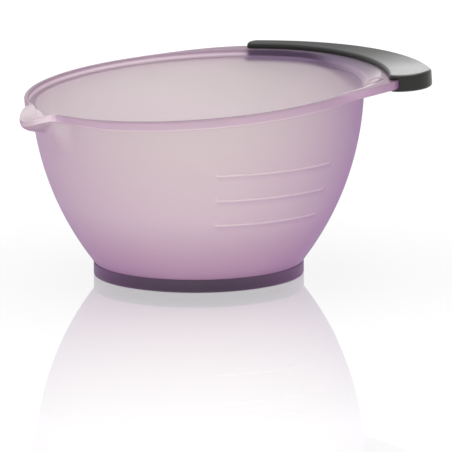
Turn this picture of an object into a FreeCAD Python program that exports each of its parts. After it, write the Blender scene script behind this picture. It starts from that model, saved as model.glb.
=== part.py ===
import FreeCAD, Part
import math
import os

import Sketcher

# Hair color bowl: a translucent moulded bowl with a pouring spout, a soft grip
# moulded over its rim flange and a soft non-slip pad in its foot.
#
# Frame, millimetres: the origin is on the bowl's axis, on the surface it stands
# on. +Z is up, +X points to the grip side and the spout is on the -X side.
# The rim is a slanted plane that rises towards the grip. Everything on the rim
# is placed in the rim frame: its origin is on the bowl's axis, u runs uphill
# in the rim plane, v is Y, and w is measured from the rim plane, up positive.

doc = FreeCAD.newDocument("hair_color_bowl")

# ---------------------------------------------------------------- driving sizes
SIZES = (
    # foot
    ("foot_radius", 39.6, "outside of the foot skirt"),
    ("foot_height", 5.2, "from the table to where the wall leaves the skirt"),
    ("skirt_wall", 1.7, "thickness of the skirt"),
    ("foot_lift", 0.4, "the pad stands this far out below the skirt"),
    ("pad_height", 4.8, "height of the non-slip pad"),
    ("pad_round", 0.3, "round of the pad's lower edge"),
    ("bead_width", 1.4, "width of the bead inside the skirt that keeps the pad in"),
    ("bead_rise", 0.5, "the bead's crest stands this far into the pad"),
    ("bead_root", 0.3, "the bead is rooted this deep in the skirt"),
    # body
    ("floor_wall", 1.9, "thickness of the floor over the pad"),
    ("wall", 1.5, "thickness of the bowl wall"),
    ("wall_setback", 0.4, "step from the skirt in to the wall"),
    ("wall_bend", 111.6, "radius of the wall's curve, seen in section"),
    ("floor_round", 9.0, "round between floor and wall, inside"),
    ("rim_height", 72.0, "rim plane above the table, on the axis"),
    ("rim_tilt", 3.8, "slant of the rim plane, degrees"),
    # collar: the stepped band round the mouth
    ("collar_radius", 65.1, "outside of the collar"),
    ("collar_step", 2.6, "from the collar in to the wall below it"),
    ("collar_height", 3.9, "height of the collar, outside"),
    ("collar_wall", 1.6, "thickness of the collar"),
    ("ledge_wall", 1.4, "thickness of the ledge between wall and collar"),
    # volume marks
    ("mark_low", 28.2, "height of the lowest mark"),
    ("mark_pitch", 9.95, "height from one mark to the next"),
    ("mark_count", 3, "number of marks"),
    ("mark_span", 49.0, "angle that a mark covers, degrees"),
    ("mark_round", 0.45, "radius of the raised line"),
    ("mark_sink", 0.12, "the raised line's centre lies this far inside the wall"),
    # spout
    ("spout_reach", 8.2, "lip beyond the collar"),
    ("spout_length", 13.0, "from the widest place of the spout to its tip"),
    ("spout_width", 25.0, "outside width of the spout"),
    ("spout_depth", 7.4, "outside depth of the spout under the rim plane"),
    ("lip_fall", 13.0, "slant of the lip under the rim plane, degrees"),
    # flange: the plate that widens into the tab and carries the grip
    ("flange_wall", 2.9, "thickness of the flange"),
    ("tip_turn", 38.9, "where the tab's tip is, degrees from +X to the open side"),
    ("tip_reach", 12.6, "the tab's tip beyond the collar"),
    ("far_turn", 84.0, "where the flange leaves the collar on the thin side, degrees"),
    ("tab_round", 1.4, "round of the tab's tip"),
    ("blank_length", 12.4, "length of the plain raised oval on the tab"),
    ("blank_width", 5.4, "width of the oval"),
    ("blank_rib", 0.7, "width of its raised line"),
    ("blank_rise", 0.4, "height of its raised line"),
    ("key_bore", 3.2, "holes through the flange that lock the grip"),
    # grip: outline given by reach beyond the collar at angles about the axis
    ("grip_cover", 1.9, "grip above the flange"),
    ("grip_under", 1.7, "grip below the flange"),
    ("grip_hug", 0.4, "inner face of the thin end beyond the collar"),
    ("grip_heel", 8.4, "inner face at the heel"),
    ("tail_reach", 8.1, "outer face at the thin end"),
    ("grip_reach", 11.6, "outer face at the middle"),
    ("head_reach", 22.8, "outer face at the wide end"),
    ("grip_inset", 2.3, "flange edge inside the grip's outer face"),
    ("heel_round", 2.0, "round of the upright corner at the heel"),
    ("grip_edge", 1.1, "round along the grip's top and bottom edges"),
)

# Angles about the axis, in degrees from +X towards +Y, where the grip's outline
# is given.
TAIL_TURN = 48.5
HUG_TURN = 21.0
HEEL_TURN = -37.5
MIDDLE_TURN = 10.0
HEAD_TURN = -29.0
# The holes that lock the grip: an angle, and a shift out from the grip's middle.
KEYS = ((38.0, -0.5), (20.0, -0.5), (1.0, -0.5), (-16.0, 1.4))

sheet = doc.addObject("Spreadsheet::Sheet", "Sizes")
for row, (name, size, meaning) in enumerate(SIZES, start=1):
    sheet.set(f"A{row}", name)
    sheet.set(f"B{row}", str(size))
    sheet.set(f"C{row}", meaning)
    sheet.setAlias(f"B{row}", name)
doc.recompute()


def value(expression):
    """The number that an expression over the sheet gives now."""
    result = sheet.evalExpression(expression)
    return float(getattr(result, "Value", result))


def size(name):
    return value(f"Sizes.{name}")


# ------------------------------------------------------------------ wall section
# The wall's section is one arc. It starts where the foot ends and reaches the
# radius under the collar; its centre follows from those two points.
WALL_START = (size("foot_radius") - size("wall_setback"), size("foot_height"))
WALL_END = (
    size("collar_radius") - size("collar_step"),
    size("rim_height") - size("collar_height"),
)
HEADROOM = 25.0     # the tools that make the body run this far over the rim


def arc_centre(start, end, radius):
    """Centre of the arc from start to end that bulges away from the axis."""
    middle = ((start[0] + end[0]) / 2, (start[1] + end[1]) / 2)
    run = (end[0] - start[0], end[1] - start[1])
    chord = math.hypot(*run)
    back = math.sqrt(radius**2 - chord**2 / 4)
    return (
        middle[0] - back * run[1] / chord,
        middle[1] + back * run[0] / chord,
    )


WALL_CENTRE = arc_centre(WALL_START, WALL_END, size("wall_bend"))


def wall_radius(height, inward=0.0):
    """Radius of the wall at a height, or of its offset surface inside."""
    bend = size("wall_bend") - inward
    return WALL_CENTRE[0] + math.sqrt(bend**2 - (height - WALL_CENTRE[1]) ** 2)


# ------------------------------------------------------------------------ helpers
TILT = "Sizes.rim_tilt * 1 deg"


def origin_plane(body, role):
    for feature in body.Origin.OriginFeatures:
        if feature.Role == role:
            return feature
    raise LookupError(role)


def new_sketch(body, name, role):
    sketch = body.newObject("Sketcher::SketchObject", name)
    sketch.AttachmentSupport = [(origin_plane(body, role), "")]
    sketch.MapMode = "FlatFace"
    return sketch


def new_body(name):
    return doc.addObject("PartDesign::Body", name)


def pin(sketch, edge, end, x, y):
    """Hold one end of a sketch edge at a point; x and y are expressions."""
    for kind, expression in (("DistanceX", x), ("DistanceY", y)):
        number = sketch.addConstraint(
            Sketcher.Constraint(kind, -1, 1, edge, end, value(expression))
        )
        sketch.setExpression(f"Constraints[{number}]", expression)


def polar(radius, angle):
    """x and y expressions of a point at a radius expression and an angle."""
    return (f"({radius}) * cos({angle} * 1 deg)", f"({radius}) * sin({angle} * 1 deg)")


def outline(sketch, corners, through):
    """A closed outline. corners are pairs of expressions; an edge with an
    entry in through is an arc that passes that point, the others are straight."""
    points = [FreeCAD.Vector(value(x), value(y), 0) for x, y in corners]
    count = len(points)
    for edge in range(count):
        start = points[edge]
        end = points[(edge + 1) % count]
        if edge in through:
            x, y = through[edge]
            middle = FreeCAD.Vector(value(x), value(y), 0)
            clockwise = (middle - start).cross(end - middle).z < 0
            ends = (end, start) if clockwise else (start, end)
            sketch.addGeometry(Part.Arc(ends[0], middle, ends[1]))
        else:
            sketch.addGeometry(Part.LineSegment(start, end))
    for edge in range(count):
        geometry = sketch.Geometry[edge]
        turned = (geometry.StartPoint - points[edge]).Length > 1e-6
        pin(sketch, edge, 2 if turned else 1, *corners[edge])
        pin(sketch, edge, 1 if turned else 2, *corners[(edge + 1) % count])
        if edge in through:
            sketch.addConstraint(Sketcher.Constraint("Radius", edge, geometry.Radius))


def revolved(name, corners, through):
    """A body turned about Z from an outline in the XZ plane."""
    body = new_body(name)
    sketch = new_sketch(body, name + "_section", "XZ_Plane")
    outline(sketch, corners, through)
    turn = body.newObject("PartDesign::Revolution", name + "_turn")
    turn.Profile = sketch
    turn.ReferenceAxis = (sketch, ["V_Axis"])
    turn.Angle = 360
    doc.recompute()
    return body


def edges_of(shape, wanted):
    return [f"Edge{i}" for i, edge in enumerate(shape.Edges, start=1) if wanted(edge)]


def rounded(body, name, wanted, radius):
    """Rounds the edges that wanted picks on the body's newest feature."""
    doc.recompute()
    base = body.Tip
    fillet = body.newObject("PartDesign::Fillet", name)
    fillet.Base = (base, edges_of(base.Shape, wanted))
    fillet.setExpression("Radius", radius)
    doc.recompute()
    return fillet


def in_rim_frame(item, u="0", w="0"):
    """Places an object in the rim frame, moved along u and w."""
    item.Placement = FreeCAD.Placement(
        FreeCAD.Vector(0, 0, 0),
        FreeCAD.Rotation(FreeCAD.Vector(0, -1, 0), size("rim_tilt")),
    )
    item.setExpression("Placement.Rotation.Angle", TILT)
    item.setExpression("Placement.Base.x", f"({u}) * cos({TILT}) - ({w}) * sin({TILT})")
    item.setExpression(
        "Placement.Base.z",
        f"Sizes.rim_height + ({u}) * sin({TILT}) + ({w}) * cos({TILT})",
    )
    return item


def cylinder(name, radius, height):
    item = doc.addObject("Part::Cylinder", name)
    item.setExpression("Radius", radius)
    item.setExpression("Height", height)
    return item


def boolean(kind, name, base, tool):
    item = doc.addObject(kind, name)
    item.Base = base
    item.Tool = tool
    return item


def fused(name, shapes):
    item = doc.addObject("Part::MultiFuse", name)
    item.Shapes = shapes
    return item


# ------------------------------------------------------------------ body and foot
TOP = size("rim_height") + HEADROOM
START_R, START_Z = "Sizes.foot_radius - Sizes.wall_setback", "Sizes.foot_height"
FLOOR_Z = "Sizes.pad_height + Sizes.floor_wall"
FLOOR = value(FLOOR_Z)
MIDDLE = (FLOOR + TOP) / 2

solid_body = revolved(
    "solid_body",
    (
        ("0", "Sizes.foot_lift"),
        ("Sizes.foot_radius", "Sizes.foot_lift"),
        ("Sizes.foot_radius", START_Z),
        (START_R, START_Z),
        (str(wall_radius(TOP)), str(TOP)),
        ("0", str(TOP)),
    ),
    {3: (str(wall_radius(MIDDLE)), str(MIDDLE))},
)

hollow = revolved(
    "hollow",
    (
        ("0", FLOOR_Z),
        (str(wall_radius(FLOOR, size("wall"))), FLOOR_Z),
        (str(wall_radius(TOP, size("wall"))), str(TOP)),
        ("0", str(TOP)),
    ),
    {1: (str(wall_radius(MIDDLE, size("wall"))), str(MIDDLE))},
)


rounded(
    hollow,
    "hollow_round",
    lambda edge: edge.BoundBox.ZMax < FLOOR + 0.01,
    "Sizes.floor_round",
)

# The pad fills a recess inside the skirt. A bead with a V section runs round the
# inside of the skirt and bites into the pad's side.
PAD_RADIUS = "Sizes.foot_radius - Sizes.skirt_wall"
BEAD_Z = "(Sizes.foot_lift + Sizes.pad_height) / 2"
recess = cylinder("recess", PAD_RADIUS, "Sizes.pad_height")
bead = revolved(
    "bead",
    (
        (f"{PAD_RADIUS} + Sizes.bead_root", f"{BEAD_Z} - Sizes.bead_width / 2"),
        (f"{PAD_RADIUS} + Sizes.bead_root", f"{BEAD_Z} + Sizes.bead_width / 2"),
        (f"{PAD_RADIUS} - Sizes.bead_rise", BEAD_Z),
    ),
    {},
)

# ------------------------------------------------------------------------- collar
REACH = 200.0       # side of the block that trims everything over the rim plane
over_rim = doc.addObject("Part::Box", "over_rim")
over_rim.Length = REACH
over_rim.Width = REACH
over_rim.Height = REACH
in_rim_frame(over_rim, u=str(-REACH / 2))
over_rim.Placement.Base.y = -REACH / 2

collar = in_rim_frame(
    cylinder("collar", "Sizes.collar_radius", "Sizes.collar_height"),
    w="-Sizes.collar_height",
)
LEDGE_DEPTH = "Sizes.collar_height - Sizes.ledge_wall"
mouth = in_rim_frame(
    cylinder("mouth", "Sizes.collar_radius - Sizes.collar_wall", f"{LEDGE_DEPTH} + {HEADROOM}"),
    w=f"-({LEDGE_DEPTH})",
)

# ------------------------------------------------------------------- volume marks
MARK_TURN = -84.0   # middle of the marks
marks = []
for number in range(int(size("mark_count"))):
    height = f"Sizes.mark_low + {number} * Sizes.mark_pitch"
    mark = doc.addObject("Part::Torus", f"mark_{number + 1}")
    mark.Radius1 = wall_radius(value(height)) - size("mark_sink")
    mark.setExpression("Radius2", "Sizes.mark_round")
    mark.setExpression("Angle3", "Sizes.mark_span * 1 deg")
    mark.Placement = FreeCAD.Placement(
        FreeCAD.Vector(0, 0, 0),
        FreeCAD.Rotation(FreeCAD.Vector(0, 0, 1), MARK_TURN - size("mark_span") / 2),
    )
    mark.setExpression("Placement.Base.z", height)
    marks.append(mark)

# -------------------------------------------------------------------------- spout
# A trough like the lower half of an egg leans out of the wall. It is hollowed by
# the same egg less one wall, and the collar over it is cut away. A slanting
# block trims the lip, so that it falls away from the collar to its tip.
SPOUT_U = "-(Sizes.collar_radius + Sizes.spout_reach - Sizes.spout_length)"


def egg(name, inward):
    """The spout's egg, smaller by inward on all sides."""
    item = doc.addObject("Part::Ellipsoid", name)
    item.setExpression("Radius1", f"Sizes.spout_depth - {inward}")
    item.setExpression("Radius2", f"Sizes.spout_length - {inward}")
    item.setExpression("Radius3", f"Sizes.spout_width / 2 - {inward}")
    item.Angle1 = -90
    item.Angle2 = 90
    return in_rim_frame(item, u=SPOUT_U)


spout_skin = egg("spout_skin", "0")
spout_hollow = egg("spout_hollow", "Sizes.wall")

# The lip's trimming block turns about the collar's outer edge.
lip_trim = doc.addObject("Part::Box", "lip_trim")
lip_trim.Length = REACH
lip_trim.Width = REACH
lip_trim.Height = REACH
in_rim_frame(lip_trim)
LIP_TILT = "(Sizes.rim_tilt + Sizes.lip_fall) * 1 deg"
lip_trim.setExpression("Placement.Rotation.Angle", LIP_TILT)
lip_trim.setExpression(
    "Placement.Base.x",
    f"-Sizes.collar_radius * cos({TILT}) - {REACH} * cos({LIP_TILT})",
)
lip_trim.setExpression(
    "Placement.Base.z",
    f"Sizes.rim_height - Sizes.collar_radius * sin({TILT}) - {REACH} * sin({LIP_TILT})",
)
lip_trim.Placement.Base.y = -REACH / 2

# --------------------------------------------------------------- flange and its tab
EDGE = "Sizes.collar_radius"


def on_flange(reach, turn):
    """A point under the grip, inset from the grip's outer face."""
    return polar(f"{EDGE} + Sizes.{reach} - Sizes.grip_inset", turn)


# The tab's straight edge runs from its tip to where it touches the collar.
TAB_SPAN = f"acos({EDGE} / ({EDGE} + Sizes.tip_reach)) / 1 deg"
TAB_X, TAB_Y = polar(EDGE, f"-(Sizes.tip_turn + {TAB_SPAN})")
FAR_X, FAR_Y = polar(EDGE, "Sizes.far_turn")
TIP_X, TIP_Y = polar(f"{EDGE} + Sizes.tip_reach", "-Sizes.tip_turn")
TIP_DEPTH = 2.8     # the tab's blunt end, as wide as it enters the grip
TIP_SLANT = 0.8     # the blunt end leans outwards by this much
CORE_BACK = 4.0     # inside the grip's head the flange is cut back by this much
CORE_TURN = HEAD_TURN - 5.0
FAR_HOLLOW = 3.4    # reach of the thin side's edge where it sweeps to the collar
FAR_HOLLOW_TURN = 64.0

flange = new_body("flange")
flange_outline = new_sketch(flange, "flange_outline", "XY_Plane")
outline(
    flange_outline,
    (
        (TAB_X, TAB_Y),
        (TIP_X, TIP_Y),
        (f"{TIP_X} + {TIP_SLANT}", f"{TIP_Y} + {TIP_DEPTH}"),
        polar(f"{EDGE} + Sizes.head_reach - Sizes.grip_inset - {CORE_BACK}", CORE_TURN),
        on_flange("tail_reach", TAIL_TURN),
        (FAR_X, FAR_Y),
    ),
    {
        3: on_flange("grip_reach", MIDDLE_TURN),
        4: polar(f"{EDGE} + {FAR_HOLLOW}", FAR_HOLLOW_TURN),
    },
)
flange_pad = flange.newObject("PartDesign::Pad", "flange_pad")
flange_pad.Profile = flange_outline
flange_pad.setExpression("Length", "Sizes.flange_wall")
rounded(
    flange,
    "flange_tip",
    lambda edge: edge.BoundBox.ZLength > size("flange_wall") / 2
    and abs(edge.BoundBox.XMin - value(TIP_X)) < 1.0,
    "Sizes.tab_round",
)
in_rim_frame(flange, w="-Sizes.flange_wall")

keys = []
for number, (turn, shift) in enumerate(KEYS, start=1):
    key = cylinder(f"key_{number}", "Sizes.key_bore / 2", "Sizes.flange_wall")
    x, y = polar(f"{EDGE} + Sizes.grip_reach / 2 + {shift}", turn)
    in_rim_frame(key, u=x, w="-Sizes.flange_wall")
    key.setExpression("Placement.Base.y", y)
    keys.append(key)

# A plain raised oval on the tab, with nothing written in it.
BLANK_TURN = -37.0
BLANK_LEAN = 31.0
BLANK_REACH = 1.0
BLANK_END = 0.96    # the oval's round ends are a shade flatter than half circles


def oval(name, grow):
    """An upright oval block on the tab, as long and wide as the blank plus grow."""
    body = new_body(name)
    sketch = new_sketch(body, name + "_outline", "XY_Plane")
    half = "(Sizes.blank_length - Sizes.blank_width) / 2"
    radius = f"(Sizes.blank_width + {grow}) / 2"
    bulge = f"{BLANK_END} * {radius}"
    outline(
        sketch,
        (
            (f"-{half}", f"-{radius}"),
            (half, f"-{radius}"),
            (half, radius),
            (f"-{half}", radius),
        ),
        {1: (f"{half} + {bulge}", "0"), 3: (f"-{half} - {bulge}", "0")},
    )
    pad = body.newObject("PartDesign::Pad", name + "_pad")
    pad.Profile = sketch
    pad.setExpression("Length", "Sizes.blank_rise + Sizes.flange_wall / 2")
    doc.recompute()
    return body


blank_outside = oval("blank_outside", "0")
blank_inside = oval("blank_inside", "-2 * Sizes.blank_rib")
blank_ring = boolean("Part::Cut", "blank_ring", blank_outside, blank_inside)
lean = FreeCAD.Rotation(FreeCAD.Vector(0, 0, 1), BLANK_LEAN)
slant = FreeCAD.Rotation(FreeCAD.Vector(0, -1, 0), size("rim_tilt"))
blank_place = FreeCAD.Vector(
    value(polar(f"{EDGE} + {BLANK_REACH}", BLANK_TURN)[0]),
    value(polar(f"{EDGE} + {BLANK_REACH}", BLANK_TURN)[1]),
    -size("flange_wall") / 2,
)
blank_ring.Placement = FreeCAD.Placement(
    slant.multVec(blank_place) + FreeCAD.Vector(0, 0, size("rim_height")),
    slant.multiply(lean),
)

# --------------------------------------------------------------------------- shell
with_spout = fused("with_spout", [solid_body, spout_skin])
trimmed = boolean("Part::Cut", "trimmed", with_spout, over_rim)
outside = fused("outside", [trimmed, collar, flange, blank_ring] + marks)
inside = fused("inside", [hollow, mouth, spout_hollow, lip_trim, recess] + keys)
hollowed = boolean("Part::Cut", "hollowed", outside, inside)
shell = fused("shell_with_bead", [hollowed, bead])
shell.Label = "bowl_shell"

# ---------------------------------------------------------------------------- grip
def on_grip(reach, turn):
    return polar(f"{EDGE} + Sizes.{reach}", turn)


def numbers(point):
    return FreeCAD.Vector(value(point[0]), value(point[1]), 0)


def tangent_arc(start, heading, end):
    """Middle of the arc that leaves start along heading and arrives at end."""
    chord = end - start
    turn = heading.getAngle(chord)
    side = FreeCAD.Vector(-chord.y, chord.x, 0)
    if side.dot(heading) < 0:
        side = -side
    middle = (start + end) / 2 + side * (math.tan(turn / 2) / 2)
    return (str(middle.x), str(middle.y))


TAIL_OUT = on_grip("tail_reach", TAIL_TURN)
TAIL_IN = on_grip("grip_hug", TAIL_TURN)
HUG_END = on_grip("grip_hug", HUG_TURN)
HEEL = on_grip("grip_heel", HEEL_TURN)
HEAD = on_grip("head_reach", HEAD_TURN)
MIDDLE_OUT = on_grip("grip_reach", MIDDLE_TURN)

TAIL_FULLNESS = 0.88    # the thin end is nearly a half circle

# The inner face follows the collar and then swings out to the heel; the outer
# face is one long arc, and the head goes on from it round to the heel.
hug_end = numbers(HUG_END)
hug_heading = FreeCAD.Vector(hug_end.y, -hug_end.x, 0)
back = Part.Arc(numbers(TAIL_OUT), numbers(MIDDLE_OUT), numbers(HEAD)).toShape().Curve
from_centre = numbers(HEAD) - back.Center
head_heading = FreeCAD.Vector(from_centre.y, -from_centre.x, 0)

grip_blank = new_body("grip_blank")
grip_outline = new_sketch(grip_blank, "grip_outline", "XY_Plane")
outline(
    grip_outline,
    (TAIL_OUT, HEAD, HEEL, HUG_END, TAIL_IN),
    {
        0: MIDDLE_OUT,
        1: tangent_arc(numbers(HEAD), head_heading, numbers(HEEL)),
        2: tangent_arc(hug_end, hug_heading, numbers(HEEL)),
        3: on_grip("grip_hug", (TAIL_TURN + HUG_TURN) / 2),
    },
)
grip_pad = grip_blank.newObject("PartDesign::Pad", "grip_pad")
grip_pad.Profile = grip_outline
grip_pad.setExpression("Length", "Sizes.grip_under + Sizes.flange_wall + Sizes.grip_cover")


def upright_at(*points):
    """Picks the upright edges that stand on the given outline points."""
    places = [numbers(point) for point in points]

    def wanted(edge):
        foot = edge.Vertexes[0].Point
        near = [p for p in places if math.hypot(foot.x - p.x, foot.y - p.y) < 0.01]
        return bool(near) and edge.BoundBox.ZLength > 1

    return wanted


rounded(grip_blank, "grip_heel_round", upright_at(HEEL), "Sizes.heel_round")
rounded(
    grip_blank,
    "grip_tail_round",
    upright_at(TAIL_OUT, TAIL_IN),
    f"(Sizes.tail_reach - Sizes.grip_hug) / 2 * {TAIL_FULLNESS}",
)
rounded(
    grip_blank,
    "grip_round",
    lambda edge: edge.BoundBox.ZLength < 0.01,
    "Sizes.grip_edge",
)
in_rim_frame(grip_blank, w="-(Sizes.flange_wall + Sizes.grip_under)")

grip = boolean("Part::Cut", "grip_on_flange", grip_blank, shell)
grip.Label = "grip"

# -------------------------------------------------------------------- non-slip pad
pad_blank = revolved(
    "pad_blank",
    (
        ("0", "0"),
        (PAD_RADIUS, "0"),
        (PAD_RADIUS, "Sizes.pad_height"),
        ("0", "Sizes.pad_height"),
    ),
    {},
)
rounded(pad_blank, "pad_edge", lambda edge: edge.BoundBox.ZMax < 0.01, "Sizes.pad_round")
pad = boolean("Part::Cut", "pad_in_recess", pad_blank, bead)
pad.Label = "base_pad"

# -------------------------------------------------------------------------- output
doc.recompute()
for item in doc.Objects:
    faults = {"Invalid", "Error"} & set(item.State)
    if faults:
        raise RuntimeError(f"{item.Name}: {item.State}")

os.makedirs("parts", exist_ok=True)
for piece in (shell, grip, pad):
    shape = piece.Shape
    if shape.isNull() or not shape.isValid() or len(shape.Solids) != 1:
        raise RuntimeError(f"{piece.Label}: {len(shape.Solids)} solids")
    shape.exportStep(f"parts/{piece.Label}.step")
    box = shape.BoundBox
    print(
        f"{piece.Label}: {shape.Volume / 1000:.2f} cm3,"
        f" x {box.XMin:.1f}..{box.XMax:.1f}, y {box.YMin:.1f}..{box.YMax:.1f},"
        f" z {box.ZMin:.1f}..{box.ZMax:.1f}"
    )
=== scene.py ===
# %% [markdown]
# # A translucent hair color bowl
#
# The object is a bowl in which hair color is mixed. One shot of translucent
# lilac polypropylene makes the bowl, its pouring spout and its side tab. A soft
# black grip is moulded over the rim, and a black rubber pad fills the foot.
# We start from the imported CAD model, which gives every place and size, then
# model the shell again with smooth blends and give each piece its finish.

# %% Load the frame
import math

import bpy
from bpy_extras.object_utils import world_to_camera_view
from mathutils import Matrix, Vector


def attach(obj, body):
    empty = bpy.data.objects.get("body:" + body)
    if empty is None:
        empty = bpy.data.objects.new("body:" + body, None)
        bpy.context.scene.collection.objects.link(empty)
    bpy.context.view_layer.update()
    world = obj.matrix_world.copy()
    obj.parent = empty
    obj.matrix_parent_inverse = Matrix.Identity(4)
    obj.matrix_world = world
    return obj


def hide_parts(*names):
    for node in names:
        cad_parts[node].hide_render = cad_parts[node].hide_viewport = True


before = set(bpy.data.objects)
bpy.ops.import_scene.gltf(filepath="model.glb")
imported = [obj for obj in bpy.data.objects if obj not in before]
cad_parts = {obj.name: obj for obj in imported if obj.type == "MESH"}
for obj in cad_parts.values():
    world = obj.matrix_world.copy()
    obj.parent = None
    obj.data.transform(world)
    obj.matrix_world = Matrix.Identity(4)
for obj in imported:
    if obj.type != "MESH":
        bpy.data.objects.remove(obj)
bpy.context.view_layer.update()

# %% [markdown]
# ## Sizes of the bowl
#
# All sizes are real ones, in millimetres, and become metres when a point is
# placed. The bowl's axis is Z and the rim is a plane that rises towards +X.
# The wall's section is one arc, so its radius at any height follows from the
# arc's two ends and its bend.

# %% Sizes
MM = 0.001
FOOT_RADIUS = 39.6
FOOT_HEIGHT = 5.2
FOOT_LIFT = 0.4
SKIRT_WALL = 1.7
PAD_HEIGHT = 4.8
FLOOR_TOP = 6.7
FLOOR_ROUND = 9.0
WALL = 1.5
WALL_BEND = 111.6
RIM_HEIGHT = 72.0
RIM_TILT = math.radians(3.8)
COLLAR_RADIUS = 65.1
COLLAR_STEP = 2.6
COLLAR_HEIGHT = 3.9
COLLAR_WALL = 1.6
LEDGE_DEPTH = 2.5
FLANGE_WALL = 2.9
EDGE_ROUND = 0.35

wall_foot = (FOOT_RADIUS - 0.4, FOOT_HEIGHT)
wall_top = (COLLAR_RADIUS - COLLAR_STEP, RIM_HEIGHT - COLLAR_HEIGHT)


def bend_centre(foot, top, bend):
    """Centre of the wall's arc, on the axis' side of its chord."""
    run, rise = top[0] - foot[0], top[1] - foot[1]
    chord = math.hypot(run, rise)
    back = math.sqrt(bend**2 - chord**2 / 4)
    return (
        (foot[0] + top[0]) / 2 - back * rise / chord,
        (foot[1] + top[1]) / 2 + back * run / chord,
    )


WALL_CENTRE = bend_centre(wall_foot, wall_top, WALL_BEND)


def wall_radius(height, inward=0.0):
    """Radius of the wall's outside at a height, or of its inside."""
    bend = WALL_BEND - inward
    return WALL_CENTRE[0] + math.sqrt(bend**2 - (height - WALL_CENTRE[1]) ** 2)


print("wall radius at 40 mm:", round(wall_radius(40.0), 2))

# %% [markdown]
# ## The section of the shell
#
# A moulded bowl is a turned shape at heart, so we draw half of its section once
# and spin it. The section goes up the outside, over the collar, down the inside
# and out along the floor. It has close points where the spout will be pulled
# out, and five close points at each volume mark, which lets us raise the marks
# later without cutting the wall.

# %% Section points
MARK_HEIGHTS = (28.2, 38.15, 48.1)
MARK_HALF = 0.55
RIM_ZONE = 52.0     # above this height the wall follows the slanted rim


def spread(start, end, step):
    """Heights from start to end, evenly, about a step apart."""
    count = max(1, round(abs(end - start) / step))
    return [start + (end - start) * i / count for i in range(count + 1)]


def wall_heights(low, high):
    """Heights of the wall's points: close at the marks and near the rim."""
    heights = [low]
    for mark in MARK_HEIGHTS:
        heights += spread(heights[-1], mark - MARK_HALF, 2.0)[1:]
        heights += spread(mark - MARK_HALF, mark + MARK_HALF, MARK_HALF / 2)[1:]
    heights += spread(heights[-1], RIM_ZONE, 2.0)[1:]
    heights += spread(RIM_ZONE, high, 0.55)[1:]
    return heights


def floor_blend():
    """Points of the round between the inside wall and the floor."""
    bend = WALL_BEND - WALL - FLOOR_ROUND
    centre_z = FLOOR_TOP + FLOOR_ROUND
    centre_r = WALL_CENTRE[0] + math.sqrt(bend**2 - (centre_z - WALL_CENTRE[1]) ** 2)
    start = math.atan2(centre_z - WALL_CENTRE[1], centre_r - WALL_CENTRE[0])
    turns = spread(start, -math.pi / 2, 0.14)
    return [
        (centre_r + FLOOR_ROUND * math.cos(t), centre_z + FLOOR_ROUND * math.sin(t))
        for t in turns
    ]


def shell_section():
    """Half of the shell's section, as (radius, height) points."""
    recess = FOOT_RADIUS - SKIRT_WALL
    top = RIM_HEIGHT
    line = [(0, PAD_HEIGHT), (recess, PAD_HEIGHT), (recess, FOOT_LIFT + 0.3)]
    line += [(recess + 0.3, FOOT_LIFT), (FOOT_RADIUS - 0.4, FOOT_LIFT)]
    line += [(FOOT_RADIUS - 0.1, FOOT_LIFT + 0.1), (FOOT_RADIUS, FOOT_LIFT + 0.4)]
    line += [(FOOT_RADIUS, FOOT_HEIGHT - 0.3), (FOOT_RADIUS - 0.12, FOOT_HEIGHT - 0.08)]
    line += [(wall_radius(z), z) for z in wall_heights(FOOT_HEIGHT, wall_top[1])]
    under = top - COLLAR_HEIGHT
    line += [(wall_top[0] + 1.2, under), (COLLAR_RADIUS - 0.35, under)]
    line += [(COLLAR_RADIUS - 0.1, under + 0.1), (COLLAR_RADIUS, under + 0.4)]
    line += [(COLLAR_RADIUS, top - FLANGE_WALL), (COLLAR_RADIUS, top - FLANGE_WALL / 2)]
    line += [(COLLAR_RADIUS, top - EDGE_ROUND), (COLLAR_RADIUS - 0.1, top - 0.1)]
    line += [(COLLAR_RADIUS - EDGE_ROUND, top)]
    mouth = COLLAR_RADIUS - COLLAR_WALL
    line += [(mouth + EDGE_ROUND, top), (mouth + 0.1, top - 0.1)]
    line += [(mouth, z) for z in spread(top - EDGE_ROUND, top - LEDGE_DEPTH + 0.3, 0.35)]
    line += [(mouth - 0.3, top - LEDGE_DEPTH)]
    blend = floor_blend()
    inner = wall_heights(blend[0][1], top - LEDGE_DEPTH - 0.3)[::-1]
    line += [(wall_radius(top - LEDGE_DEPTH, WALL) + 0.25, top - LEDGE_DEPTH)]
    line += [(wall_radius(z, WALL), z) for z in inner]
    line += blend[1:]
    line += [(r, FLOOR_TOP) for r in (20.0, 10.0, 0.0)]
    return line


section = shell_section()
print("section points:", len(section))

# %% [markdown]
# ## Spin the section
#
# One vertex is extruded from point to point to draw the line, and the line is
# spun once round the axis. Where the line ends on the axis, the spin leaves many
# points in one place, so doubles are merged there before the faces are turned
# outwards.

# %% Draw and spin
COLUMNS = 480


def only(piece):
    """Selects one object and makes it active."""
    bpy.ops.object.select_all(action="DESELECT")
    piece.select_set(True)
    bpy.context.view_layer.objects.active = piece


def drawn(name, points):
    """A line through (radius, height) points in the XZ plane, drawn by extrude."""
    bpy.ops.object.select_all(action="DESELECT")
    bpy.ops.mesh.primitive_plane_add(size=MM, location=(0, 0, 0))
    line = bpy.context.object
    line.name = name
    bpy.ops.object.mode_set(mode="EDIT")
    bpy.ops.mesh.merge(type="CENTER")
    bpy.ops.transform.translate(value=(points[0][0] * MM, 0, points[0][1] * MM))
    for (r0, z0), (r1, z1) in zip(points, points[1:]):
        step = ((r1 - r0) * MM, 0, (z1 - z0) * MM)
        bpy.ops.mesh.extrude_region_move(TRANSFORM_OT_translate={"value": step})
    return line


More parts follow.
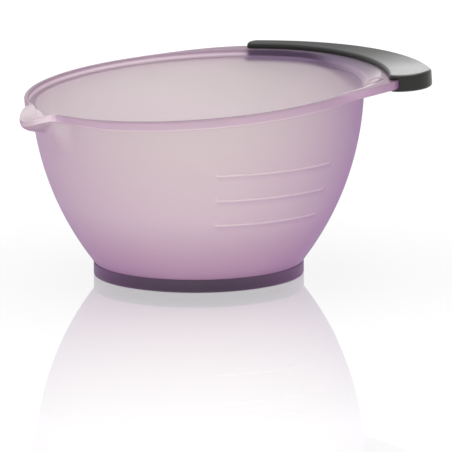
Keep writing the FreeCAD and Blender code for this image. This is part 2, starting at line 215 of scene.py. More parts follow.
shell = drawn("bowl_body", section)
bpy.ops.mesh.select_all(action="SELECT")
bpy.ops.mesh.spin(
    steps=COLUMNS, angle=2 * math.pi, center=(0, 0, 0), axis=(0, 0, 1), use_auto_merge=True
)
bpy.ops.mesh.select_all(action="SELECT")
bpy.ops.mesh.remove_doubles(threshold=0.002 * MM)
bpy.ops.mesh.normals_make_consistent(inside=False)
bpy.ops.object.mode_set(mode="OBJECT")
print("spun shell:", len(shell.data.vertices), "points,", len(shell.data.polygons), "faces")

# %% [markdown]
# ## Slant the rim and pull out the spout
#
# On the real bowl the rim rises towards the grip, the spout is a rounded trough,
# and near the grip the inside wall flares out into the tab. A sculptor would grab
# the points and push them. We do the same with a rule for each point, which keeps
# the spout's width and depth true to size: the wall goes out to the spout's
# egg-shaped skin wherever that skin lies farther out than the wall.

# %% Rules for the rim
SPOUT_REACH = 7.4
SPOUT_LENGTH = 13.0
SPOUT_HALF = 12.5
SPOUT_DEPTH = 8.6
TROUGH_WALL = 4.4   # the lips on both sides of the pouring groove are this thick
SPOUT_VEE = 1.5     # a low power narrows the spout's sides towards its bottom
SPOUT_SPAN = math.radians(25)   # beyond this the skin of the spout isn't asked for
NOSE_DEPTH = 0.45   # the nose is fullest at this share of the depth
NOSE_SET_BACK = 0.12   # share by which the nose draws back at the lip
LIP_DROP = 3.0      # the lip's tip lies this far under the rim
SPOUT_SEAT = COLLAR_RADIUS + SPOUT_REACH - SPOUT_LENGTH
FLARE = 8.0         # radius of the flare from the wall into the tab's top


def ease(low, high, x):
    """0 at low, 1 at high, with a smooth start and end."""
    t = min(1.0, max(0.0, (x - low) / (high - low)))
    return t * t * (3 - 2 * t)


def soft_max(a, b, blend):
    """The larger of two radii, with a round where they meet."""
    near = max(blend - abs(a - b), 0.0) / blend
    return max(a, b) + near * near * blend / 4


def nose(down):
    """How full the spout's nose is at a share of its depth: round like a ball."""
    if down < NOSE_DEPTH:
        return 1 - NOSE_SET_BACK * (1 - down / NOSE_DEPTH) ** 1.6
    return math.sqrt(1 - ((down - NOSE_DEPTH) / (1 - NOSE_DEPTH)) ** 2.6)


def spout_radius(turn, depth, inward):
    """Radius of the spout's skin at an angle from its middle and a depth."""
    long, half, deep = (s - inward for s in (SPOUT_LENGTH, SPOUT_HALF, SPOUT_DEPTH))
    down = max(0.0, -depth / deep)
    if down >= 1 or abs(turn) > SPOUT_SPAN:
        return 0.0
    long *= nose(down)
    half *= math.sqrt(1 - down**SPOUT_VEE)
    a = (math.cos(turn) / long) ** 2 + (math.sin(turn) / half) ** 2
    b = -2 * SPOUT_SEAT * math.cos(turn) / long**2
    c = (SPOUT_SEAT / long) ** 2 - 1
    inside = b * b - 4 * a * c
    return (-b + math.sqrt(inside)) / (2 * a) if inside > 0 else 0.0


def flare_share(turn):
    """How far the wall flares into the tab, 0 to 1, at an angle from +X."""
    degrees = math.degrees(turn)
    return ease(38, -14, degrees) * ease(-66, -42, degrees)


def on_flange(turn):
    """Whether the flange stands on the collar at this angle."""
    return -72 < math.degrees(turn) < 84


def flare_radius(radius, height, share):
    """The inside's radius where it rolls out into the tab's top."""
    size = FLARE * share
    if size < 0.2 or height < -size:
        return radius
    rise = min(1.0, (height + size) / size)
    return radius + size * (1 - math.sqrt(1 - rise * rise))


# %% [markdown]
# ## Raise the volume marks
#
# The marks are shallow ribs of half-round section. They could be separate thin
# rings, but they belong to the moulding, so the wall's own close points are
# pushed out instead.

# %% Rise of the marks
MARK_TURN = -84.0
MARK_HALF_SPAN = 24.5
MARK_RISE = 0.33


def mark_rise(turn, height):
    """How far a volume mark stands out of the wall here."""
    off = abs(math.degrees(turn) - MARK_TURN)
    end = ease(MARK_HALF_SPAN + 0.3, MARK_HALF_SPAN - 0.5, off)
    across = min(abs(height - mark) for mark in MARK_HEIGHTS) / MARK_HALF
    return MARK_RISE * end * math.sqrt(max(0.0, 1 - across * across))


# %% [markdown]
# ## The rim's own frame
#
# The collar is flat and round in a frame that is slanted with the rim. Points of
# the rim are taken into that frame, moved there with simple rules, and brought
# back. Two small functions do the change, so every later step can use them.

# %% Rim frame
slope = math.tan(RIM_TILT)
tilt = Matrix.Rotation(-RIM_TILT, 3, "Y")
rim_centre = Vector((0, 0, RIM_HEIGHT))


def rim_frame(point):
    """A point in millimetres, taken into the rim's slanted frame."""
    return tilt.transposed() @ (Vector(point) - rim_centre)


def out_of_rim(place):
    """A place in the rim's frame, brought back to the bowl's."""
    return rim_centre + tilt @ place


print("rim slants by", round(math.degrees(RIM_TILT), 1), "degrees")

# %% [markdown]
# ## Place every point
#
# The rule takes a point of the spun shell and gives its place on the real one.
# Below the rim zone nothing moves, except that the volume marks are raised. The
# wall above it is stretched up to the slanted collar, and the collar, the flare
# and the spout are shaped in the rim's frame.

# %% Place every point
SAME = 0.01              # heights nearer than this count as one
WALL_END = 71.9          # the wall's arc is read no higher than this
MOUTH_RADIUS = wall_radius(66.0, WALL)   # the flare into the tab starts here
COLLAR_TAPER = 1.2       # the collar is this much lower beside the spout
TAPER_SIDES = (40, 14)   # degrees from the spout's middle where it gets lower
SWELL_SIDES = (17, 8)    # degrees where the wall swells into the spout
SWELL_HEIGHTS = (-18, -4)
LIP_SIDES = (10, 1)      # degrees where the lip drops
LEDGE_LOST = (0.6, 0.1)  # share of the flare at which the mouth's step is gone
SPOUT_BLEND = 1.6
MOUTH_LAND = 0.4         # least width of the collar's top beside the flare


def onto_rim(point, inner, collar, aside):
    """Where a point of the rim zone lies in the rim's frame."""
    x, y, z = point
    taper = 0 if inner else COLLAR_TAPER * ease(*TAPER_SIDES, aside)
    if collar:
        return Vector((x, y, (z - RIM_HEIGHT) * (1 - taper / COLLAR_HEIGHT)))
    top = RIM_HEIGHT - LEDGE_DEPTH if inner else wall_top[1]
    share = (z - RIM_ZONE) / (top - RIM_ZONE)
    z += share * slope * x
    z += share * taper
    radius, turn = wall_radius(z, WALL if inner else 0.0), math.atan2(y, x)
    return rim_frame((radius * math.cos(turn), radius * math.sin(turn), z))


def settled(point):
    """The place on the finished bowl of a point of the spun shell."""
    x, y, z = point
    radius = math.hypot(x, y)
    inner = radius < wall_radius(min(max(z, FOOT_HEIGHT), WALL_END)) - WALL / 2
    if z < RIM_ZONE:
        if inner or z < FOOT_HEIGHT or radius < 1:
            return Vector(point)
        grown = (radius + mark_rise(math.atan2(y, x), z)) / radius
        return Vector((x * grown, y * grown, z))
    aside = abs(math.degrees(math.atan2(-y, -x)))
    collar = z > wall_top[1] - SAME and not (inner and z < RIM_HEIGHT - LEDGE_DEPTH - SAME)
    on_rim = onto_rim(point, inner, collar, aside)
    radius, turn = math.hypot(on_rim.x, on_rim.y), math.atan2(on_rim.y, on_rim.x)
    height, share = on_rim.z, flare_share(turn)
    mouth_side = inner or (collar and radius < COLLAR_RADIUS - COLLAR_WALL / 2)
    if on_flange(turn) and collar and not mouth_side and height > -EDGE_ROUND - SAME:
        height = 0.0
    if mouth_side:
        rolled = flare_radius(MOUTH_RADIUS if collar else radius, height, share)
        radius = rolled + max(0.0, radius - rolled) * ease(*LEDGE_LOST, share)
    elif not collar:
        radius += COLLAR_STEP * ease(*SWELL_SIDES, aside) * ease(*SWELL_HEIGHTS, height)
    elif height > -SAME:
        radius = max(radius, flare_radius(MOUTH_RADIUS, 0.0, share) + MOUTH_LAND)
    if height > -SPOUT_DEPTH:
        height -= LIP_DROP * ease(*LIP_SIDES, aside) * (height + SPOUT_DEPTH) / SPOUT_DEPTH
    skin = spout_radius(math.atan2(-on_rim.y, -on_rim.x), height, TROUGH_WALL if mouth_side else 0)
    radius = soft_max(radius, skin, SPOUT_BLEND)
    return out_of_rim(Vector((radius * math.cos(turn), radius * math.sin(turn), height)))


# %% [markdown]
# ## Values painted on the shell
#
# The finish has to know where the shell is thick, where a mark is, which side
# looks into the bowl and where shade and highlights are painted. These could be
# separate materials on groups of faces, but their borders would be hard. A named
# value on every point fades softly, and it stays on the shell from every side.

# %% Painted values of the body
MARKED = (26, 50)      # heights between which the marks lie
INNER_BAND = 0.4       # the collar's thick look, on its inside
# Near the tab the band's tone lies on the wall as painted shade in the flare.
WALL_BAND_SHADE = 0.8        # the most of it that the wall has, near the tab
NOSE_PALE = 0.3        # share of pale tone on the spout's nose
LEDGE = RIM_HEIGHT - LEDGE_DEPTH - SAME
COLLAR_FOOT = wall_top[1] - SAME


def painted(piece, name, rule):
    """A named value on every point of a piece, for its finish to read."""
    layer = piece.data.attributes.new(name, "FLOAT", "POINT")
    for vertex in piece.data.vertices:
        x, y, z = vertex.co / MM
        layer.data[vertex.index].value = rule(math.hypot(x, y), math.atan2(y, x), z)


def from_spout(turn):
    """Degrees from the middle of the spout."""
    return 180 - abs(math.degrees(turn))


def mark_value(radius, turn, z):
    """1 on the crest of a volume mark."""
    raised = MARKED[0] < z < MARKED[1] and radius > wall_radius(z) - WALL / 2
    return mark_rise(turn, z) / MARK_RISE if raised else 0.0


def inner_side(radius, turn, z):
    """1 on the inside of the wall and of the collar."""
    limit = COLLAR_RADIUS - COLLAR_WALL / 2 if z > LEDGE else wall_radius(z) - WALL / 2
    return 1.0 if z > FOOT_HEIGHT and radius < limit else 0.0


def rim_band_and_shade(radius, turn, z):
    """1 outside on the thick collar, less inside; on the wall towards the tab it marks painted
    shade in the flare.
    """
    if z > LEDGE or (radius > wall_top[0] - 0.1 and z > COLLAR_FOOT):
        outside = ease(5, 14, from_spout(turn))
        return INNER_BAND if radius < COLLAR_RADIUS - COLLAR_WALL / 2 else outside
    return WALL_BAND_SHADE * flare_share(turn) * ease(54, 66, z) * inner_side(radius, turn, z)


def thick_nose(radius, turn, z):
    """The solid nose of the spout needs less colour to look like the thin wall."""
    top = ease(RIM_HEIGHT - 12.0, RIM_HEIGHT - 8.0, z)
    return NOSE_PALE * ease(15, 9, from_spout(turn)) * top


# %% Painted shade and highlight
SHADE_TAIL = (48.5, 46.5)   # degrees where the grip's shade begins at its thin end
SHADE_HEAD = (-36, -8)      # and where it ends at the thick one
SHADE_WIDENS = (20, -12)    # degrees over which it gets wider, softer and fainter
SHADE_LOW, SHADE_LOWER = -4.4, 5.0
SHADE_EDGE, SHADE_SOFTER = 1.6, 4.0
SHADE_FAINTER = 0.4
# The collar's lower edge gets a painted highlight.
FOOT_EDGE = 0.5             # how far the light edge reaches round the collar's corner


# Painted shade: the inside wall beside the grip is darkened in its colour.
def painted_grip_shade(radius, turn, z):
    """Painted shade on the inside wall where the grip lies behind it."""
    degrees = math.degrees(turn)
    wide = ease(*SHADE_WIDENS, degrees)
    low = SHADE_LOW - SHADE_LOWER * wide
    along = ease(*SHADE_TAIL, degrees) * ease(*SHADE_HEAD, degrees) * (1 - SHADE_FAINTER * wide)
    rise = ease(low, low + SHADE_EDGE + SHADE_SOFTER * wide, z - RIM_HEIGHT)
    return along * rise * inner_side(radius, turn, z)


def painted_collar_highlight(radius, turn, z):
    """1 on the collar's lower outer edge, where a highlight is painted."""
    lower = COLLAR_FOOT < z < RIM_HEIGHT - COLLAR_HEIGHT + FOOT_EDGE
    return ease(6, 16, from_spout(turn)) if lower and radius > COLLAR_RADIUS - FOOT_EDGE else 0.0


# Painted shade: the mouth's upper edge and the ledge are darkened in colour.
def mouth_line_shade(radius, turn, z):
    """1 along the mouth's upper edge and along the ledge, where shade is painted."""
    down = RIM_HEIGHT - z
    line = max(ease(1.5, 0.6, down), ease(0.5, 0.1, abs(down - LEDGE_DEPTH)))
    clear = ease(8, 16, from_spout(turn)) * (1 - flare_share(turn))
    return line * clear * inner_side(radius, turn, z)


PAINTED = {
    "volume_mark": mark_value,
    "thick_rim_and_shade": rim_band_and_shade,
    "inner_side": inner_side,
    "painted_grip_shade": painted_grip_shade,
    "collar_edge_highlight": painted_collar_highlight,
    "mouth_line_shade": mouth_line_shade,
    "thick_nose": thick_nose,
}
for value_name, rule in PAINTED.items():
    painted(shell, value_name, rule)
print("painted values:", len(PAINTED))

# %% [markdown]
# ## Move the points
#
# The values were painted on the upright shell, where heights are easy to say.
# Now every point goes to its place on the slanted one and takes them with it.

# %% Move the points
def reshape(piece, rule):
    """Moves every point of a piece by a rule that works in millimetres."""
    for vertex in piece.data.vertices:
        vertex.co = rule(vertex.co / MM) * MM
    piece.data.update()


reshape(shell, settled)
print("rim slanted, spout reaches x =", round(min(v.co.x for v in shell.data.vertices) / MM, 1))

# %% [markdown]
# ## Grow the flange and the tab
#
# The flange is a flat plate that leaves the collar along a straight line, widens
# into the tab and carries the grip. It belongs to the same moulding, so we
# extrude it out of the collar's own faces instead of adding a second plate. Its
# outline is given as a radius for every angle.

# %% Extrude the flange
TAB_TURN = math.radians(-72.0)
TAB_LENGTH = 42.5
TIP_TURN = TAB_TURN + math.atan2(TAB_LENGTH, COLLAR_RADIUS)
TIP_RADIUS = math.hypot(TAB_LENGTH, COLLAR_RADIUS)
FAR_TURN = 84.0
CORNER_CUT = 1.1      # how much the tip's corner is rounded off
EDGE_WIDTH = 5.6      # width of the flange under the grip's thin end
TAB_WIDENS = 12.0     # how much wider it gets towards the tab
TIP_FALL = 0.9        # the edge starts this far inside the tip
TIP_SPREAD = 0.1      # and moves out by this much with each degree
EDGE_BEVEL = 0.35


def flange_radius(turn):
    """Reach of the flange's edge from the axis at an angle from +X."""
    degrees = math.degrees(turn)
    if turn < TIP_TURN:
        straight = COLLAR_RADIUS / math.cos(turn - TAB_TURN)
        return straight - CORNER_CUT * ease(TIP_TURN - 0.035, TIP_TURN, turn) ** 2
    core = COLLAR_RADIUS + EDGE_WIDTH + TAB_WIDENS * ease(25, -30, degrees)
    core = min(core, TIP_RADIUS - TIP_FALL + TIP_SPREAD * math.degrees(turn - TIP_TURN))
    return COLLAR_RADIUS + (core - COLLAR_RADIUS) * ease(FAR_TURN, 48, degrees)


def select_faces(piece, wanted):
    """Enters edit mode with just the faces that wanted picks by their centre."""
    only(piece)
    bpy.ops.object.mode_set(mode="EDIT")
    bpy.ops.mesh.select_mode(type="FACE")
    bpy.ops.mesh.select_all(action="DESELECT")
    bpy.ops.object.mode_set(mode="OBJECT")
    for face in piece.data.polygons:
        face.select = wanted(rim_frame(face.center / MM), face.normal)
    bpy.ops.object.mode_set(mode="EDIT")


def collar_side(centre, normal):
    """The collar's outer faces that the flange grows from."""
    turn = math.atan2(centre.y, centre.x)
    radius = math.hypot(centre.x, centre.y)
    upper = -FLANGE_WALL < centre.z < -0.1
    outward = normal.x * math.cos(turn) + normal.y * math.sin(turn) > 0.1
    on_side = upper and outward and radius > COLLAR_RADIUS - 0.2
    return on_side and on_flange(turn) and turn > TAB_TURN


select_faces(shell, collar_side)
bpy.ops.mesh.extrude_region_move(TRANSFORM_OT_translate={"value": (0, 0, 0)})
bpy.ops.object.mode_set(mode="OBJECT")
edge_points = [v for v in shell.data.vertices if v.select]
for vertex in edge_points:
    place = rim_frame(vertex.co / MM)
    turn = math.atan2(place.y, place.x)
    reach = max(flange_radius(turn), COLLAR_RADIUS + 0.02)
    place.x, place.y = reach * math.cos(turn), reach * math.sin(turn)
    vertex.co = out_of_rim(place) * MM
bpy.ops.object.mode_set(mode="EDIT")
bpy.ops.mesh.region_to_loop()
bpy.ops.mesh.bevel(offset=EDGE_BEVEL * MM, segments=2, affect="EDGES", clamp_overlap=True)
bpy.ops.mesh.select_all(action="SELECT")
bpy.ops.mesh.remove_doubles(threshold=0.01 * MM)
bpy.ops.mesh.dissolve_degenerate(threshold=0.01 * MM)
bpy.ops.mesh.normals_make_consistent(inside=False)
bpy.ops.object.mode_set(mode="OBJECT")
print("flange edge points:", len(edge_points))

# %% [markdown]
# ## A plain raised oval on the tab
#
# Moulded tabs often carry a raised badge. Ours is a blank oval line: a thin
# ring, stretched to an oval and sunk half into the tab, so it stays one moulding.

# %% Blank oval
BLANK_PLACE = (COLLAR_RADIUS + 1.6, math.radians(-37.5))
BLANK_LEAN = math.radians(31.0)
BLANK_HALF = 2.5        # half of the oval's width
BLANK_LINE = 0.38       # half of the line's thickness
BLANK_STRAIGHT = 2.6    # how far its two round ends are pulled apart

bpy.ops.object.select_all(action="DESELECT")
bpy.ops.mesh.primitive_torus_add(
    major_segments=64,
    minor_segments=10,
    major_radius=BLANK_HALF * MM,
    minor_radius=BLANK_LINE * MM,
)
oval = bpy.context.object
oval.name = "blank_oval"
bpy.ops.object.mode_set(mode="EDIT")
bpy.ops.mesh.select_all(action="SELECT")
bpy.ops.transform.resize(value=(1.0, 1.0, 0.8))
bpy.ops.object.mode_set(mode="OBJECT")


def drawn_out(point):
    """Halves of the ring pulled apart into a long oval, leaned and laid on the tab."""
    point = Vector((point.x + math.copysign(BLANK_STRAIGHT, point.x), point.y, point.z))
    lean = Matrix.Rotation(BLANK_LEAN, 3, "Z")
    reach, turn = BLANK_PLACE
    spot = Vector((reach * math.cos(turn), reach * math.sin(turn), 0.0))
    laid = lean @ point + spot
    short = max(0.0, 1 - (math.hypot(laid.x, laid.y) - MOUTH_RADIUS) / FLARE)
    laid.z -= FLARE * (1 - math.sqrt(1 - short * short))
    return out_of_rim(laid)


reshape(oval, drawn_out)
only(shell)
oval.select_set(True)
bpy.ops.object.join()
bpy.ops.object.shade_smooth_by_angle(angle=math.radians(38))
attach(shell, "root")
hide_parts("bowl_shell")
low, high = (Vector(c) / MM for c in (shell.bound_box[0], shell.bound_box[6]))
print("shell from", low, "to", high)

# %% [markdown]
# ## Helpers for finishes
#
# Colours are written as the sRGB hex values that a designer would pick, and one
# function turns them linear. A second small function adds a node with its
# settings and its links.

# %% Finish helpers
def linear(colour):
    """A hex sRGB colour as linear red, green, blue, alpha."""
    parts = [int(colour[i : i + 2], 16) / 255 for i in (1, 3, 5)]
    flat = [p / 12.92 if p <= 0.04045 else ((p + 0.055) / 1.055) ** 2.4 for p in parts]
    return (*flat, 1.0)


def add(tree, kind, inputs=None, **settings):
    """A node with its settings, and its inputs linked or set."""
    node = tree.nodes.new(kind)
    for name, setting in settings.items():
        setattr(node, name, setting)
    for name, source in (inputs or {}).items():
        if isinstance(source, bpy.types.NodeSocket):
            tree.links.new(source, node.inputs[name])
        else:
            node.inputs[name].default_value = source
    return node


def new_material(name):
    """An empty material and its node tree."""
    material = bpy.data.materials.new(name)
    material.use_nodes = True
    material.node_tree.nodes.clear()
    return material, material.node_tree


def per_mm(size):
    """Texture scale at which one cell of the pattern is about size millimetres."""
    return 1 / (size * MM)


def dress(piece, material):
    """Gives a piece one material, in every slot that it has."""
    piece.data.materials.clear()
    piece.data.materials.append(material)
    for slot in piece.material_slots:
        slot.material = material


# %% [markdown]
# ## Translucent polypropylene: its tone
#
# Natural polypropylene is milky: light goes through it but is scattered on the
# way, so things behind it show as soft shadows. Its tone is violet above the pad
# and pale higher up: the deeper tone low down is partly the plastic's own, where
# much of it lies behind the surface, and partly painted shade. The painted values
# then lay over it the collar's thicker tone with painted shade on its top faces,
# painted light on the inside, painted shade along the lines, beside the grip and
# in the flare, and a painted highlight on the collar's lower edge.

# %% Polypropylene tone
# Violet low down and pale higher up: partly the plastic's own tone, partly painted shade; the
# lowest stop paints the skirt dark over the pad.
HEIGHT_TONES_AND_SHADE = ((0.072, "#826A8D"), (0.078, "#C39CB9"), (0.42, "#E6DADC"), (1.0, "#E6E0DC"))
CLOUD_SHARE = 0.3
# Share of painted light that makes the inside of the bowl paler.
INSIDE_LIGHT_SHARE = 0.62
# A paler tone on the spout's thick nose; painted shade along the mouth's lines and where the grip
# lies behind the wall.
PAINTED_TONES = (("thick_nose", "#FFFAFC"), ("mouth_line_shade", "#AE9BA8"), ("painted_grip_shade", "#9B86A8"))


def height_tone_and_shade(tree, height, cloud):
    """The shell's tone by height, darker towards the foot partly as painted shade, a little
    clouded.
    """
    climb = add(
        tree, "ShaderNodeMapRange", {0: height, 1: 0.0, 2: RIM_HEIGHT * MM}, clamp=True
    ).outputs[0]
    ramp = add(tree, "ShaderNodeValToRGB", {0: climb})
    stops = ramp.color_ramp.elements
    stops.remove(stops[1])
    stops[0].position, stops[0].color = HEIGHT_TONES_AND_SHADE[0][0], linear(HEIGHT_TONES_AND_SHADE[0][1])
    for spot, colour in HEIGHT_TONES_AND_SHADE[1:]:
        stops.new(spot).color = linear(colour)
    plain = ramp.outputs[0]
    cloudy = add(
        tree, "ShaderNodeMix", {0: cloud, 6: plain, 7: linear("#E5D2D8")}, data_type="RGBA"
    ).outputs[2]
    return add(
        tree, "ShaderNodeMix", {0: CLOUD_SHARE, 6: plain, 7: cloudy}, data_type="RGBA"
    ).outputs[2]


def value_of(tree, name):
    """A painted value of the shell."""
    return add(tree, "ShaderNodeAttribute", attribute_name=name).outputs["Fac"]


def shell_tone(tree, tone, upward, inside):
    """The height's tone with the collar, the inside and the lines laid over it."""
    # Faces that look up, the collar's top and the ledge, get the darker tone: painted shade.
    band_shaded_on_top = add(
        tree,
        "ShaderNodeMix",
        {0: upward, 6: linear("#E8D3E0"), 7: linear("#B29CAB")},
        data_type="RGBA",
    ).outputs[2]
    # Painted light: the inside of the bowl is made paler in colour.
    painted_inside_light = add(tree, "ShaderNodeMapRange", {0: inside, 3: 0.0, 4: INSIDE_LIGHT_SHARE}).outputs[0]
    layers = [(value_of(tree, "thick_rim_and_shade"), band_shaded_on_top), (painted_inside_light, linear("#FFFFFD"))]
    layers += [(value_of(tree, name), linear(colour)) for name, colour in PAINTED_TONES]
    # The marks' crests are painted pale, and the collar's lower edge gets a painted highlight.
    raised, lit = value_of(tree, "volume_mark"), value_of(tree, "collar_edge_highlight")
    pale = add(tree, "ShaderNodeMath", {0: raised, 1: lit}, operation="MAXIMUM").outputs[0]
    for share, colour in layers + [(pale, linear("#FFF6F4"))]:
        tone = add(
            tree, "ShaderNodeMix", {0: share, 6: tone, 7: colour}, data_type="RGBA"
        ).outputs[2]
    return tone


print("tones by height:", len(HEIGHT_TONES_AND_SHADE))

# %% [markdown]
# ## Translucent polypropylene: its relief
#
# The melt flows up the wall when the bowl is moulded and leaves faint upright
# waves, and the mould's satin finish leaves a fine grain. Both are too shallow
# for geometry, so they are bumps, sized in millimetres.

# %% Polypropylene relief
FLOW_WIDTH = 2.5
FLOW_HEIGHT_SHARE = 0.03
SATIN_GRAIN = 0.5       # coarser than the real grain, so that it shows


def shell_relief(tree, place):
    """The normal of the satin wall."""
    stretched = add(
        tree, "ShaderNodeMapping", {0: place, "Scale": (1, 1, FLOW_HEIGHT_SHARE)}
    ).outputs[0]
    flow = add(
        tree,
        "ShaderNodeTexNoise",
        {"Vector": stretched, "Scale": per_mm(FLOW_WIDTH), "Detail": 2.0},
    ).outputs[0]
    grain = add(
        tree, "ShaderNodeTexNoise", {"Vector": place, "Scale": per_mm(SATIN_GRAIN), "Detail": 2.0}
    ).outputs[0]
    flow_bump = add(
        tree, "ShaderNodeBump", {"Height": flow, "Strength": 0.12, "Distance": 0.2 * MM}
    ).outputs[0]
    return add(
        tree,
        "ShaderNodeBump",
        {"Height": grain, "Strength": 0.15, "Distance": 0.03 * MM, "Normal": flow_bump},
    ).outputs[0]


print("flow waves", FLOW_WIDTH, "mm apart, grain", SATIN_GRAIN, "mm")

# %% [markdown]
# ## Translucent polypropylene: its body
#
# A rough glass part lets the grip and the pad show through, and a translucent
# part passes the soft light. Where the eye looks along the wall it sees more
# plastic, so a violet edge is mixed in by Layer Weight; it is made stronger
# towards the grip, which is painted shade. A violet absorption fills the wall
# itself.

# %% Polypropylene
POLYPROPYLENE_IOR = 1.49
EDGE_BLEND = 0.42
# The violet edge is stronger on the grip side: painted shade.
EDGE_SIDE_SHADE = (0.85, 1.35)   # strength of the edge at the spout and at the grip
EDGE_INSIDE = 0.15
EDGE_REACH = 0.065          # metres along X over which its strength changes


def edge_share(tree, side, upright, inside):
    """How much of the violet edge shows, stronger towards the grip as painted shade."""
    grazing = add(tree, "ShaderNodeLayerWeight", {"Blend": EDGE_BLEND}).outputs["Facing"]
    low, high = EDGE_SIDE_SHADE
    stronger = add(
        tree, "ShaderNodeMapRange", {0: side, 1: -EDGE_REACH, 2: EDGE_REACH, 3: low, 4: high}
    ).outputs[0]
    weaker = add(
        tree, "ShaderNodeMapRange", {0: inside, 3: stronger, 4: EDGE_INSIDE}
    ).outputs[0]
    outline = add(
        tree, "ShaderNodeMath", {0: grazing, 1: upright}, operation="MULTIPLY"
    ).outputs[0]
    return add(
        tree, "ShaderNodeMath", {0: outline, 1: weaker}, operation="MULTIPLY", use_clamp=True
    ).outputs[0]


def lilac_polypropylene():
    """Moulded translucent polypropylene, lilac and satin."""
    material, tree = new_material("lilac_polypropylene_moulded")
    coordinates = add(tree, "ShaderNodeTexCoord").outputs
    place = coordinates["Object"]
    axes = add(tree, "ShaderNodeSeparateXYZ", {0: place}).outputs
    facing = add(tree, "ShaderNodeSeparateXYZ", {0: coordinates["Normal"]}).outputs["Z"]
    upward = add(tree, "ShaderNodeMapRange", {0: facing, 1: 0.4, 2: 0.9}, clamp=True).outputs[0]
    upright = add(tree, "ShaderNodeMath", {0: 1.0, 1: upward}, operation="SUBTRACT").outputs[0]
    cloud = add(
        tree, "ShaderNodeTexNoise", {"Vector": place, "Scale": per_mm(30), "Detail": 3.0}
    ).outputs[0]
    inside = value_of(tree, "inner_side")
    tone = shell_tone(tree, height_tone_and_shade(tree, axes["Z"], cloud), upward, inside)
    satin = shell_relief(tree, place)
    gloss = add(tree, "ShaderNodeMapRange", {0: cloud, 3: 0.30, 4: 0.42}).outputs[0]
    glassy = add(
        tree,
        "ShaderNodeBsdfPrincipled",
        {
            "Base Color": tone,
            "Roughness": gloss,
            "IOR": POLYPROPYLENE_IOR,
            "Transmission Weight": 0.72,
            "Normal": satin,
        },
    ).outputs[0]
    milky = add(
        tree, "ShaderNodeBsdfTranslucent", {"Color": tone, "Normal": satin}
    ).outputs[0]
    face_on = add(tree, "ShaderNodeMixShader", {0: 0.5, 1: glassy, 2: milky}).outputs[0]
    edge_on = add(
        tree,
        "ShaderNodeBsdfPrincipled",
        {
            "Base Color": linear("#8C5894"),
            "Roughness": 0.45,
            "IOR": POLYPROPYLENE_IOR,
            "Specular IOR Level": 0.15,
            "Transmission Weight": 0.4,
            "Normal": satin,
        },
    ).outputs[0]
    share = edge_share(tree, axes["X"], upright, inside)
    surface = add(tree, "ShaderNodeMixShader", {0: share, 1: face_on, 2: edge_on}).outputs[0]
    depth = add(
        tree, "ShaderNodeVolumeAbsorption", {"Color": linear("#CBA2CC"), "Density": 30.0}
    ).outputs[0]
    add(tree, "ShaderNodeOutputMaterial", {"Surface": surface, "Volume": depth})
    return material


dress(shell, lilac_polypropylene())
print("shell dressed in", shell.data.materials[0].name)

# %% [markdown]
# ## Soft-touch grip
#
# The grip is a soft black elastomer. Its CAD solid already has the right curves
# and rounds, so it stays and only gets its finish: nearly black, with a fine
# moulded grain that breaks up the highlight on top. The thin end is matte and
# the thick head is glossier, so its top shines.

# %% Grip finish
GRIP_GRAIN = 0.35
GRIP_PATCH = 14.0
GRIP_GLOSS = (0.28, 0.76)        # roughness of the head and of the thin end
GRIP_FADE = (-0.045, 0.03)       # where along Y the one becomes the other


def soft_touch_black():
    """Moulded soft-touch elastomer, black."""
    material, tree = new_material("soft_touch_elastomer_black")
    place = add(tree, "ShaderNodeTexCoord").outputs["Object"]
    grain = add(
        tree, "ShaderNodeTexNoise", {"Vector": place, "Scale": per_mm(GRIP_GRAIN), "Detail": 3.0}
    ).outputs[0]
    patches = add(
        tree, "ShaderNodeTexNoise", {"Vector": place, "Scale": per_mm(GRIP_PATCH), "Detail": 3.0}
    ).outputs[0]
    colour = add(
        tree,
        "ShaderNodeMix",
        {0: patches, 6: linear("#151514"), 7: linear("#1F1D1B")},
        data_type="RGBA",
    ).outputs[2]
    across = add(tree, "ShaderNodeSeparateXYZ", {0: place}).outputs["Y"]
    towards_tail = add(
        tree,
        "ShaderNodeMapRange",
        {0: across, 1: GRIP_FADE[0], 2: GRIP_FADE[1], 3: GRIP_GLOSS[0], 4: GRIP_GLOSS[1]},
        interpolation_type="SMOOTHSTEP",
    ).outputs[0]
    patchy = add(tree, "ShaderNodeMapRange", {0: patches, 3: -0.05, 4: 0.05}).outputs[0]
    gloss = add(tree, "ShaderNodeMath", {0: towards_tail, 1: patchy}, operation="ADD").outputs[0]
    bump = add(
        tree, "ShaderNodeBump", {"Height": grain, "Strength": 0.25, "Distance": 0.04 * MM}
    ).outputs[0]
    surface = add(
        tree,
        "ShaderNodeBsdfPrincipled",
        {
            "Base Color": colour,
            "Roughness": gloss,
            "IOR": 1.5,
            "Specular IOR Level": 0.38,
            "Normal": bump,
        },
    ).outputs[0]
    add(tree, "ShaderNodeOutputMaterial", {"Surface": surface})
    return material


dress(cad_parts["grip"], soft_touch_black())
print("grip roughness from", GRIP_GLOSS[0], "to", GRIP_GLOSS[1])

# %% [markdown]
# ## Rubber pad
#
# The pad in the foot is matte black rubber. Most of it is seen through the
# skirt, and its lower edge shows as a dark line on the table.

# %% Pad finish
DUST_SIZE = 1.2


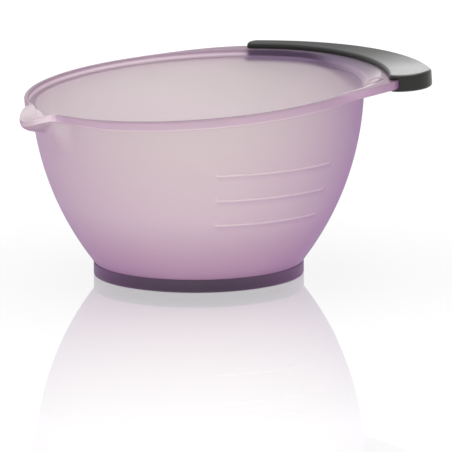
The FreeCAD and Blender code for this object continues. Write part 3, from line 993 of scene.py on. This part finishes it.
def matte_rubber():
    """Moulded non-slip rubber, matte black."""
    material, tree = new_material("non_slip_rubber_black")
    place = add(tree, "ShaderNodeTexCoord").outputs["Object"]
    dust = add(
        tree, "ShaderNodeTexNoise", {"Vector": place, "Scale": per_mm(DUST_SIZE), "Detail": 4.0}
    ).outputs[0]
    colour = add(
        tree,
        "ShaderNodeMix",
        {0: dust, 6: linear("#1E1C1F"), 7: linear("#3A363B")},
        data_type="RGBA",
    ).outputs[2]
    bump = add(
        tree, "ShaderNodeBump", {"Height": dust, "Strength": 0.3, "Distance": 0.05 * MM}
    ).outputs[0]
    surface = add(
        tree,
        "ShaderNodeBsdfPrincipled",
        {"Base Color": colour, "Roughness": 0.7, "IOR": 1.5, "Normal": bump},
    ).outputs[0]
    add(tree, "ShaderNodeOutputMaterial", {"Surface": surface})
    return material


dress(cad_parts["base_pad"], matte_rubber())
print("pad dressed")

# %% [markdown]
# ## Table
#
# The bowl stands on a glossy white sheet that is lit from behind, as product
# tables are: it shows almost no shadow and meets the background without a
# horizon. Its gloss mirrors the bowl, less and less with the distance.

# %% Table
TABLE_SIZE = 12.0
MIRROR_REACH = (0.05, 0.27)    # metres from the bowl where the mirror image fades
MIRROR_SHARE = (0.53, 0.17)
SHEET_GLOW = 1.01

bpy.ops.object.select_all(action="DESELECT")
bpy.ops.mesh.primitive_plane_add(size=TABLE_SIZE, location=(0, 0, 0))
table = bpy.context.object
table.name = "table"

table_finish, tree = new_material("white_gloss_table")
spot = add(tree, "ShaderNodeTexCoord").outputs["Object"]
away = add(tree, "ShaderNodeVectorMath", {0: spot}, operation="LENGTH").outputs["Value"]
near = add(
    tree,
    "ShaderNodeMapRange",
    {0: away, 1: MIRROR_REACH[0], 2: MIRROR_REACH[1], 3: MIRROR_SHARE[0], 4: MIRROR_SHARE[1]},
    clamp=True,
).outputs[0]
glow = add(tree, "ShaderNodeEmission", {"Strength": SHEET_GLOW}).outputs[0]
sheet = add(tree, "ShaderNodeBsdfDiffuse", {"Color": (0.07, 0.07, 0.07, 1)}).outputs[0]
lit = add(tree, "ShaderNodeAddShader", {0: glow, 1: sheet}).outputs[0]
mirror = add(tree, "ShaderNodeBsdfGlossy", {"Roughness": 0.03}).outputs[0]
surface = add(tree, "ShaderNodeMixShader", {0: near, 1: lit, 2: mirror}).outputs[0]
add(tree, "ShaderNodeOutputMaterial", {"Surface": surface})
dress(table, table_finish)
print("table dressed in", table_finish.name)

# %% [markdown]
# ## Studio light
#
# White surroundings light the bowl evenly, a large softbox overhead gives the
# soft tops, and a weak small one behind the grip puts a narrow shine on its head.

# %% Studio light
world = bpy.data.worlds.new("white_studio")
bpy.context.scene.world = world
world.use_nodes = True
world.node_tree.nodes["Background"].inputs[0].default_value = (1, 1, 1, 1)
world.node_tree.nodes["Background"].inputs[1].default_value = 1.0


def softbox(name, place, aim, width, power):
    """A square area light at a place, turned to its aim."""
    lamp = bpy.data.lights.new(name, "AREA")
    lamp.shape = "SQUARE"
    lamp.size = width
    lamp.energy = power
    holder = bpy.data.objects.new(name, lamp)
    bpy.context.collection.objects.link(holder)
    holder.location = place
    holder.visible_camera = False
    holder.rotation_mode = "QUATERNION"
    holder.rotation_quaternion = (Vector(aim) - Vector(place)).to_track_quat("-Z", "Y")
    print(name, "lamp:", power, "W,", width, "m wide")


softbox("overhead", (0.1, 0.2, 1.3), (0, 0, 0.04), 1.2, 19.0)
softbox("back_right", (0.26, 0.30, 0.19), (0.08, -0.03, 0.076), 0.16, 0.12)
bpy.context.scene.view_settings.view_transform = "Standard"

# %% [markdown]
# ## Camera
#
# Seen from a little above with a long lens, which keeps the bowl's sides nearly
# parallel. The camera stands on the open side, so spout, marks and grip all show.

# %% Camera
EYE = Vector((-1.1183, -2.3982, 0.5366))
AIM = Vector((0.0109, -0.0012, 0.0172))
FOCAL_LENGTH = 570.4
SENSOR_WIDTH = 36.0
ROLL = math.radians(-0.42)

lens = bpy.data.cameras.new("camera")
lens.lens = FOCAL_LENGTH
lens.sensor_width = SENSOR_WIDTH
lens.clip_end = 50.0
camera = bpy.data.objects.new("camera", lens)
bpy.context.collection.objects.link(camera)
camera.location = EYE
camera.rotation_mode = "QUATERNION"
roll = Matrix.Rotation(ROLL, 3, "Z").to_quaternion()
camera.rotation_quaternion = (AIM - EYE).to_track_quat("-Z", "Y") @ roll
bpy.context.scene.camera = camera
bpy.context.view_layer.update()
seen = world_to_camera_view(bpy.context.scene, camera, Vector((0, 0, 0)))
print("origin in view:", round(seen.x, 4), round(1 - seen.y, 4))
